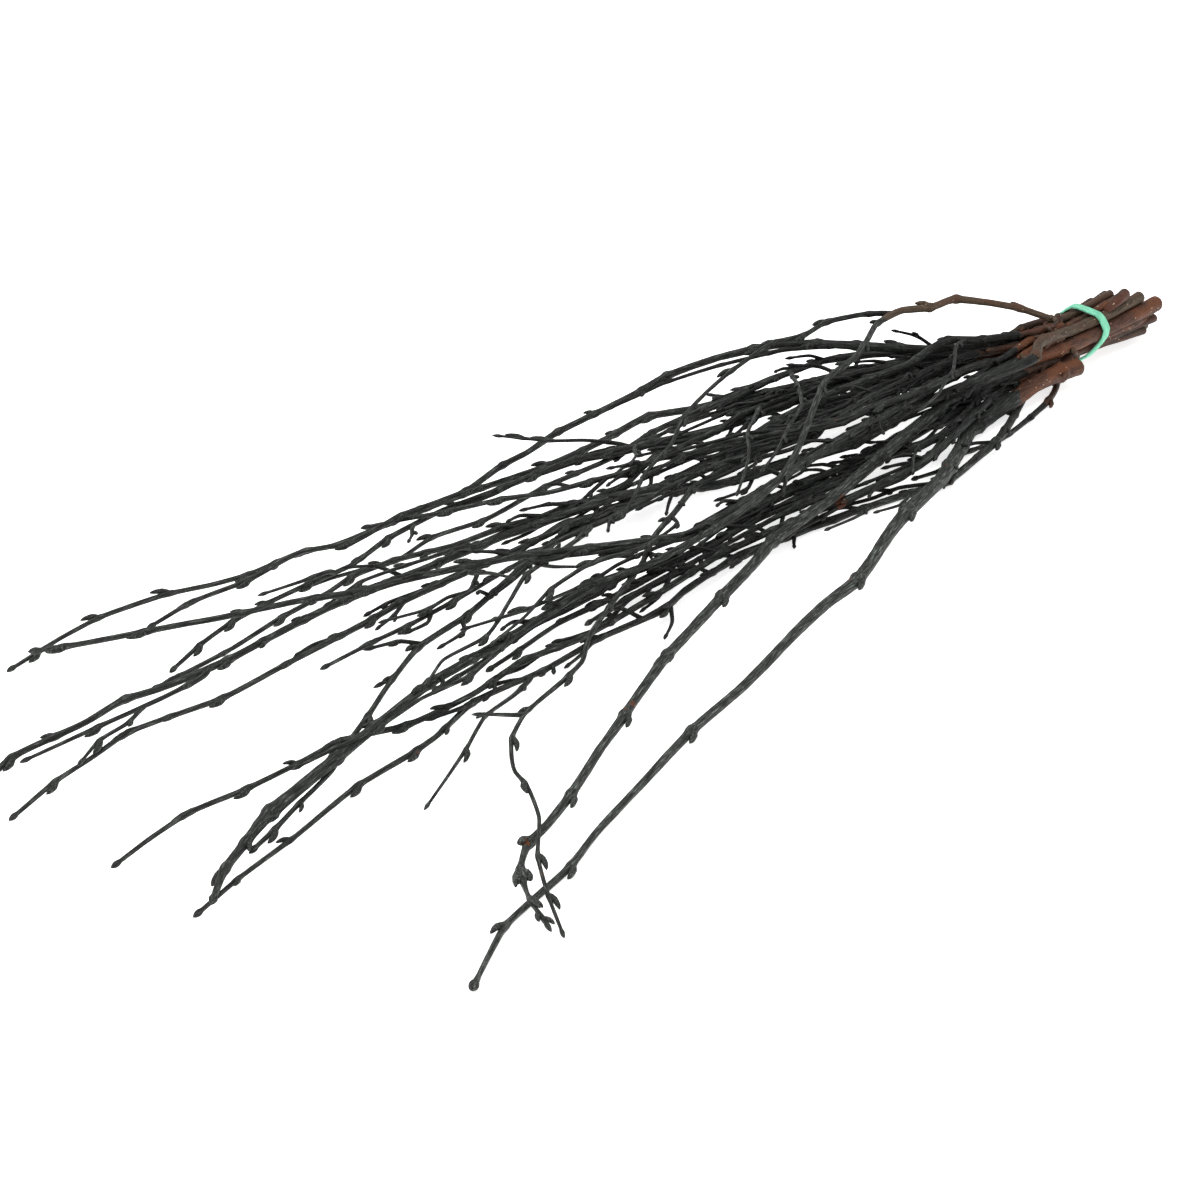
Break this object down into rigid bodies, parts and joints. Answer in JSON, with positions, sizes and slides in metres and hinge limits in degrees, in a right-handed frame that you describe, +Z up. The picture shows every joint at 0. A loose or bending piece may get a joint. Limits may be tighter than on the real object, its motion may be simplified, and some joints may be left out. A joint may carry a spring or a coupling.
{
  "type": "bundle of twigs",
  "caption": "Tied bundle of cut twigs with buds and side shoots, brown at the cut ends and dyed black above, lying down and fanning out from a rubber band.",
  "frame": {"origin": "on the surface the bundle lies on, under the middle of its bounding box", "axes": "+X along the bundle from the cut ends to the tips, +Y to the side that the picture shows nearest, +Z up"},
  "size_m": [0.6198, 0.2616, 0.0532],
  "materials": {
    "dyed_bark": "matt bark, dyed charcoal black, reddish brown and undyed over the first 100 mm at the cut ends",
    "rubber": "mint-green elastic band, satin"
  },
  "bodies": {
    "root": {"rubber_band": "rubber", "shoot_arch": "dyed_bark", "shoot_arch_end": "dyed_bark", "shoot_arch_twiglet": "dyed_bark", "shoot_back_fork": "dyed_bark", "shoot_back_over": "dyed_bark", "shoot_back_spike": "dyed_bark", "shoot_back_spur": "dyed_bark", "shoot_back_up": "dyed_bark", "shoot_curved_fork": "dyed_bark", "shoot_curved_hook": "dyed_bark", "shoot_curved_spur": "dyed_bark", "shoot_diagonal_fork": "dyed_bark", "shoot_droop_spur": "dyed_bark", "shoot_front_inner": "dyed_bark", "shoot_front_short": "dyed_bark", "shoot_high_long": "dyed_bark", "shoot_high_spur": "dyed_bark", "shoot_inner_long": "dyed_bark", "shoot_inner_spur": "dyed_bark", "shoot_middle_long": "dyed_bark", "shoot_middle_over": "dyed_bark", "shoot_middle_spur": "dyed_bark", "shoot_straight_fork": "dyed_bark", "shoot_straight_spur": "dyed_bark", "shoot_thick_end": "dyed_bark", "shoot_thick_fork": "dyed_bark", "shoot_thick_twiglet": "dyed_bark", "shoot_top_arc": "dyed_bark", "stem_arch": "dyed_bark", "stem_back_high": "dyed_bark", "stem_back_low": "dyed_bark", "stem_back_mid": "dyed_bark", "stem_back_short": "dyed_bark", "stem_diagonal": "dyed_bark", "stem_droop": "dyed_bark", "stem_front_curved": "dyed_bark", "stem_front_low": "dyed_bark", "stem_front_thick": "dyed_bark", "stem_front_wavy": "dyed_bark", "stem_inner_short": "dyed_bark", "stem_long_front": "dyed_bark", "stem_middle_back": "dyed_bark", "stem_middle_cross": "dyed_bark", "stem_middle_high": "dyed_bark", "stem_middle_straight": "dyed_bark", "stem_middle_thick": "dyed_bark", "stem_top_front": "dyed_bark"}
  },
  "joints": []
}
